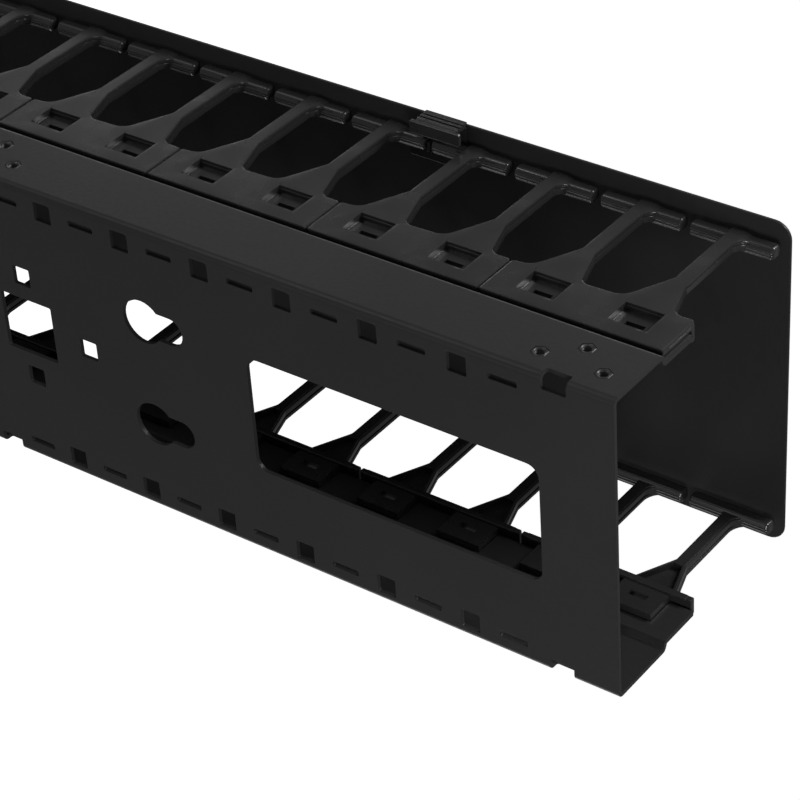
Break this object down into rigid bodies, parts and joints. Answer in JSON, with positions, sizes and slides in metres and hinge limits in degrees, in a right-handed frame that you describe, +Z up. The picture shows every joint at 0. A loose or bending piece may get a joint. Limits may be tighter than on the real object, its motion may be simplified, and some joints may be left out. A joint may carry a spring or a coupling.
{
  "type": "vertical cable manager",
  "caption": "Tall folded steel channel for the side of a rack, with cross-armed plastic fingers along both sides and a flat hinged door.",
  "frame": {"origin": "middle of the mounting plate's lower edge, on its outer face", "axes": "+Z up along the manager to its upper end, -Y out through the door, +X to the latch side"},
  "size_m": [0.1682, 0.136, 1.872],
  "materials": {
    "powder_coated_steel": "fine matt black powder coat",
    "moulded_plastic": "satin black",
    "nut_steel": "black coated"
  },
  "bodies": {
    "frame": {"channel": "powder_coated_steel", "finger_module_right_01": "moulded_plastic", "finger_module_right_02": "moulded_plastic", "finger_module_right_03": "moulded_plastic", "finger_module_right_04": "moulded_plastic", "finger_module_right_05": "moulded_plastic", "finger_module_right_06": "moulded_plastic", "finger_module_right_07": "moulded_plastic", "finger_module_right_08": "moulded_plastic", "finger_module_right_09": "moulded_plastic", "finger_module_right_10": "moulded_plastic", "finger_module_right_11": "moulded_plastic", "finger_module_right_12": "moulded_plastic", "finger_module_right_13": "moulded_plastic", "finger_module_right_14": "moulded_plastic", "finger_module_right_15": "moulded_plastic", "finger_module_right_16": "moulded_plastic", "finger_module_right_17": "moulded_plastic", "finger_module_right_18": "moulded_plastic", "finger_module_right_19": "moulded_plastic", "finger_module_right_20": "moulded_plastic", "finger_module_right_21": "moulded_plastic", "finger_module_left_01": "moulded_plastic", "finger_module_left_02": "moulded_plastic", "finger_module_left_03": "moulded_plastic", "finger_module_left_04": "moulded_plastic", "finger_module_left_05": "moulded_plastic", "finger_module_left_06": "moulded_plastic", "finger_module_left_07": "moulded_plastic", "finger_module_left_08": "moulded_plastic", "finger_module_left_09": "moulded_plastic", "finger_module_left_10": "moulded_plastic", "finger_module_left_11": "moulded_plastic", "finger_module_left_12": "moulded_plastic", "finger_module_left_13": "moulded_plastic", "finger_module_left_14": "moulded_plastic", "finger_module_left_15": "moulded_plastic", "finger_module_left_16": "moulded_plastic", "finger_module_left_17": "moulded_plastic", "finger_module_left_18": "moulded_plastic", "finger_module_left_19": "moulded_plastic", "finger_module_left_20": "moulded_plastic", "finger_module_left_21": "moulded_plastic", "clinch_nuts_right": "nut_steel", "clinch_nuts_left": "nut_steel"},
    "door": {"door": "powder_coated_steel", "hinge_clip_1": "moulded_plastic", "hinge_clip_2": "moulded_plastic", "hinge_clip_3": "moulded_plastic", "latch_clip_1": "moulded_plastic", "latch_clip_2": "moulded_plastic", "latch_clip_3": "moulded_plastic"}
  },
  "joints": [
    {"name": "door_hinge", "type": "hinge", "parent": "frame", "child": "door", "pos_m": [-0.0714, -0.128, 0], "axis": [0, 0, -1], "range_deg": [0, 90]}
  ]
}
